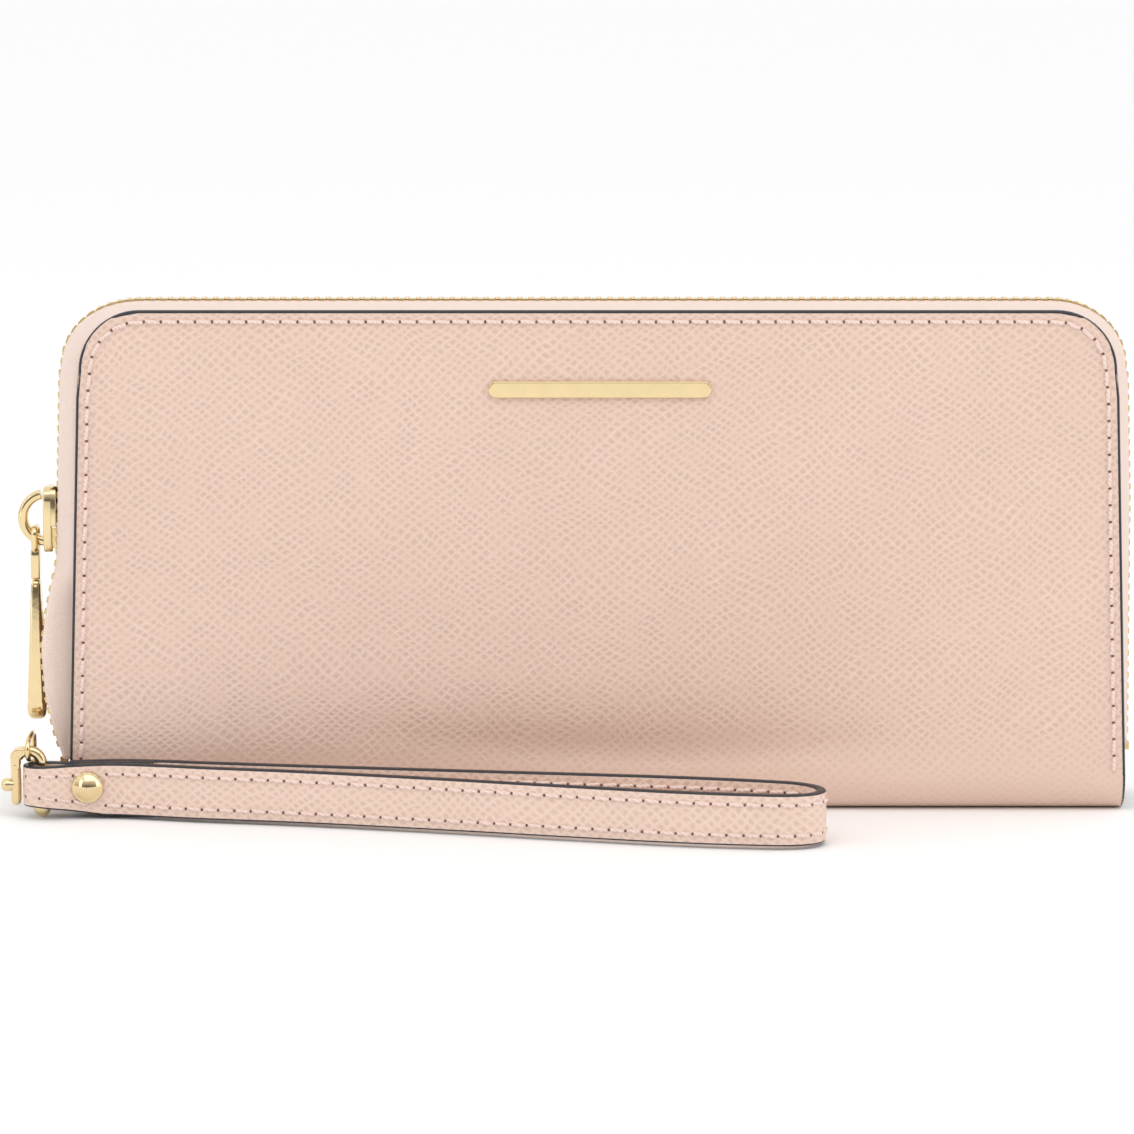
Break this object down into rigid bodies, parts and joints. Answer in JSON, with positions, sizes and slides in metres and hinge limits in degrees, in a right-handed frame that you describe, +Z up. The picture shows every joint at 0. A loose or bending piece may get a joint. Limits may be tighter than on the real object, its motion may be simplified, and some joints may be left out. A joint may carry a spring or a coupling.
{
  "type": "wristlet wallet",
  "caption": "Zip-around continental wallet in grained leather with a side zip puller, inner card slots and coin pocket, and a clip-on wrist strap.",
  "frame": {"origin": "centre of the flat underside of the spine, on which the wallet stands", "axes": "+X along the wallet's long side, +Y from the front panel to the back panel, +Z up from the spine to the zip"},
  "size_m": [0.2148, 0.0598, 0.097],
  "materials": {
    "leather": "semi-gloss embossed cross-grain, soft pink",
    "lining": "plain woven lining",
    "board": "matte stiffener board",
    "tape": "herringbone woven zip tape, pale pink",
    "gold": "polished pale gold plating",
    "teeth": "pale gold metal teeth"
  },
  "bodies": {
    "front_shell": {"front_cover": "leather", "front_board": "board", "front_lining": "lining", "spine_board": "board", "spine_lining": "lining", "front_card_tier_1": "leather", "front_card_tier_2": "leather", "front_card_tier_3": "leather", "front_gusset_left": "lining", "front_gusset_right": "lining", "front_zip_tape": "tape", "front_zip_teeth": "teeth", "front_top_stop": "teeth", "bottom_stop": "teeth", "badge_bar": "gold", "ring_tab": "leather"},
    "back_shell": {"back_cover": "leather", "back_board": "board", "back_lining": "lining", "back_card_tier_1": "leather", "back_card_tier_2": "leather", "back_card_tier_3": "leather", "back_gusset_left": "lining", "back_gusset_right": "lining", "back_zip_tape": "tape", "back_zip_teeth": "teeth", "back_top_stop": "teeth"},
    "coin_section": {"coin_pocket": "lining", "coin_zip_tape": "tape", "coin_zip_chain": "teeth"},
    "coin_zip_slider": {"coin_slider": "gold"},
    "coin_zip_pull": {"coin_puller": "gold"},
    "zip_slider": {"slider_body": "gold", "slider_bridge": "gold"},
    "pull_link": {"puller_link": "gold"},
    "pull_tab": {"puller_tab": "gold", "puller_pin": "gold"},
    "ring": {"side_ring": "gold"},
    "clasp": {"clasp_body": "gold", "gate_pin": "gold"},
    "clasp_snap": {"clasp_gate": "gold"},
    "wrist_strap": {"strap": "leather", "rivet": "gold"}
  },
  "joints": [
    {"name": "cover_open", "type": "hinge", "parent": "front_shell", "child": "back_shell", "pos_m": [0, 0.0113, 0.00615], "axis": [-1, 0, 0], "range_deg": [0, 45]},
    {"name": "coin_section_turn", "type": "hinge", "parent": "front_shell", "child": "coin_section", "pos_m": [0, 0, 0.0036], "axis": [-1, 0, 0], "range_deg": [0, 22.5]},
    {"name": "coin_slider_travel", "type": "slide", "parent": "coin_section", "child": "coin_zip_slider", "axis": [1, 0, 0], "range_m": [0, 0.138]},
    {"name": "coin_puller_lift", "type": "hinge", "parent": "coin_zip_slider", "child": "coin_zip_pull", "pos_m": [-0.077, 0, 0.0875], "axis": [0, -1, 0], "range_deg": [0, 14]},
    {"name": "zip_travel", "type": "slide", "parent": "front_shell", "child": "zip_slider", "axis": [0.0314, 0, 0.9995], "range_m": [-0.004, 0.017]},
    {"name": "puller_link_swing", "type": "hinge", "parent": "zip_slider", "child": "pull_link", "pos_m": [-0.1051, 0, 0.0549], "axis": [0, 1, 0], "range_deg": [0, 95]},
    {"name": "puller_tab_swing", "type": "hinge", "parent": "pull_link", "child": "pull_tab", "pos_m": [-0.1073, 0, 0.042], "axis": [0, 1, 0], "range_deg": [0, 60]},
    {"name": "ring_swing", "type": "hinge", "parent": "front_shell", "child": "ring", "pos_m": [-0.10745, -0.0074, 0.006], "axis": [0, 0, 1], "range_deg": [-15, 0]},
    {"name": "clasp_swing", "type": "hinge", "parent": "ring", "child": "clasp", "pos_m": [-0.10745, -0.01705, 0.011], "axis": [0, 1, 0], "range_deg": [-70, 0]},
    {"name": "gate_open", "type": "hinge", "parent": "clasp", "child": "clasp_snap", "pos_m": [-0.1099, -0.01705, 0.01], "axis": [0, 1, 0], "range_deg": [0, 35], "stiffness_Nm_per_rad": 0.002, "springref_deg": -22.92},
    {"name": "strap_swing", "type": "hinge", "parent": "clasp", "child": "wrist_strap", "pos_m": [-0.105, -0.01705, 0.006], "axis": [0, 0, 1], "range_deg": [-100, 0]}
  ],
  "couplings": [
    {"joint": "coin_section_turn", "follows": "cover_open", "ratio": 0.5}
  ]
}
